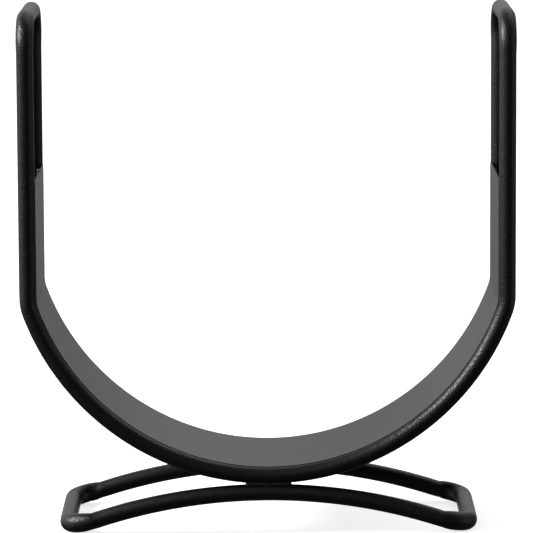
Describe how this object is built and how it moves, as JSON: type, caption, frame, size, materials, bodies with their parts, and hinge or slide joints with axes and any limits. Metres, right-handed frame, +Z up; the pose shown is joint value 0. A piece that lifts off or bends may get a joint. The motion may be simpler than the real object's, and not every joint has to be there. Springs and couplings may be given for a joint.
{
  "type": "razor stand",
  "caption": "Free-standing bent-wire stand: a U-shaped wire cradle lined with thin sheet, open loops at the arm tops, on an arched wire base.",
  "frame": {"origin": "on the floor, under the middle of the stand", "axes": "+Z up, +X along the base and across the arms, -Y towards the front, +Y towards the rear hoop"},
  "size_m": [0.118, 0.043, 0.125],
  "materials": {
    "black_powder_coat": "fine-textured matt black powder coat on steel",
    "coated_weld": "weld beads under the same matt black powder coat"
  },
  "bodies": {
    "root": {"cradle_loop": "black_powder_coat", "base_loop": "black_powder_coat", "liner_sheet": "black_powder_coat", "cradle_butt_weld": "coated_weld", "base_butt_weld": "coated_weld", "crown_weld_front_outer": "coated_weld", "crown_weld_front_inner": "coated_weld", "crown_weld_rear_outer": "coated_weld", "crown_weld_rear_inner": "coated_weld", "sheet_tack_front_1": "coated_weld", "sheet_tack_front_2": "coated_weld", "sheet_tack_front_3": "coated_weld", "sheet_tack_front_4": "coated_weld", "sheet_tack_front_5": "coated_weld", "sheet_tack_front_6": "coated_weld", "sheet_tack_front_7": "coated_weld", "sheet_tack_rear_1": "coated_weld", "sheet_tack_rear_2": "coated_weld", "sheet_tack_rear_3": "coated_weld", "sheet_tack_rear_4": "coated_weld", "sheet_tack_rear_5": "coated_weld", "sheet_tack_rear_6": "coated_weld", "sheet_tack_rear_7": "coated_weld"}
  },
  "joints": []
}
